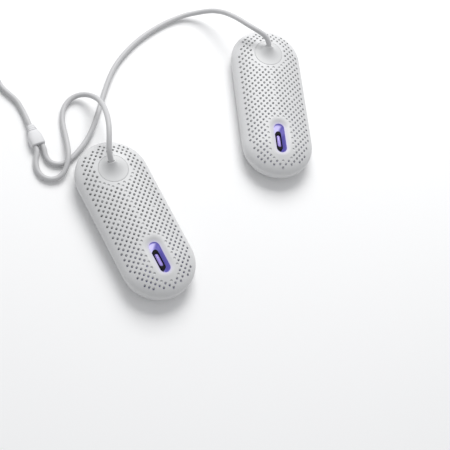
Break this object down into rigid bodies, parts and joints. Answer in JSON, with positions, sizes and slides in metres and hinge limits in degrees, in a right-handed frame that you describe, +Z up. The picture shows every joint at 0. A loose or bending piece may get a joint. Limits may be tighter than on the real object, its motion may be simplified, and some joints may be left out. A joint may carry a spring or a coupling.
{
  "type": "boot dryer",
  "caption": "Pair of perforated heated drying pods with a lit lamp slot, joined by a forked mains cord, laid inside boots or shoes to dry them.",
  "frame": {"origin": "middle of the floor area that the two pods cover, on the surface they lie on", "axes": "+Z up out of the perforated faces, +Y from the nearer pod to the further one"},
  "size_m": [0.3565, 0.3147, 0.0425],
  "materials": {
    "white_shell": "fine satin moulded white",
    "back_shell": "fine satin moulded white",
    "nozzle_plastic": "smooth satin white",
    "cord_jacket": "matt light grey jacket",
    "splitter_plastic": "satin off-white",
    "tie_strap": "matt light grey",
    "plug_plastic": "satin off-white",
    "brass_pins": "polished",
    "steel": "zinc plated",
    "aluminium": "extruded, plain",
    "heater_ceramic": "unglazed",
    "insulator": "heat-resistant moulding",
    "board_green": "lacquered board",
    "black_plastic": "matt black",
    "copper_winding": "enamelled copper wire",
    "lamp_glass": "lit violet tube",
    "well_violet": "lit violet reflector",
    "wire_red": "insulated wire"
  },
  "bodies": {
    "root": {"cord_left": "cord_jacket", "cord_right": "cord_jacket", "main_cord": "cord_jacket", "cord_coil": "cord_jacket", "plug_lead": "cord_jacket", "cord_splitter": "splitter_plastic", "coil_tie": "tie_strap", "plug_relief": "plug_plastic", "plug_body": "plug_plastic", "plug_pin_1": "brass_pins", "plug_pin_2": "brass_pins"},
    "pod_left": {"front_shell_left": "white_shell", "rear_shell_left": "back_shell", "cable_nozzle_left": "nozzle_plastic", "case_screw_left_1": "steel", "case_screw_left_2": "steel", "case_screw_left_3": "steel", "case_screw_left_4": "steel", "lamp_well_left": "well_violet", "lamp_holder_left": "black_plastic", "uv_lamp_left": "lamp_glass", "heater_tray_left": "insulator", "ptc_heater_left": "heater_ceramic", "heat_spreader_left": "aluminium", "thermal_fuse_left": "steel", "control_board_left": "board_green", "transformer_core_left": "black_plastic", "transformer_coil_left": "copper_winding", "board_capacitor_left": "black_plastic", "board_rectifier_left": "black_plastic", "cord_clamp_left": "black_plastic", "inner_lead_left": "cord_jacket", "supply_wire_left": "wire_red", "lamp_wire_left": "wire_red"},
    "pod_right": {"front_shell_right": "white_shell", "rear_shell_right": "back_shell", "cable_nozzle_right": "nozzle_plastic", "case_screw_right_1": "steel", "case_screw_right_2": "steel", "case_screw_right_3": "steel", "case_screw_right_4": "steel", "lamp_well_right": "well_violet", "lamp_holder_right": "black_plastic", "uv_lamp_right": "lamp_glass", "heater_tray_right": "insulator", "ptc_heater_right": "heater_ceramic", "heat_spreader_right": "aluminium", "thermal_fuse_right": "steel", "control_board_right": "board_green", "transformer_core_right": "black_plastic", "transformer_coil_right": "copper_winding", "board_capacitor_right": "black_plastic", "board_rectifier_right": "black_plastic", "cord_clamp_right": "black_plastic", "inner_lead_right": "cord_jacket", "supply_wire_right": "wire_red", "lamp_wire_right": "wire_red"}
  },
  "joints": [
    {"name": "pod_left_lift", "type": "slide", "parent": "root", "child": "pod_left", "axis": [0, 0, 1], "range_m": [0, 0.05], "deforming": ["cord_left"]},
    {"name": "pod_right_lift", "type": "slide", "parent": "root", "child": "pod_right", "axis": [0, 0, 1], "range_m": [0, 0.05], "deforming": ["cord_right"]}
  ]
}
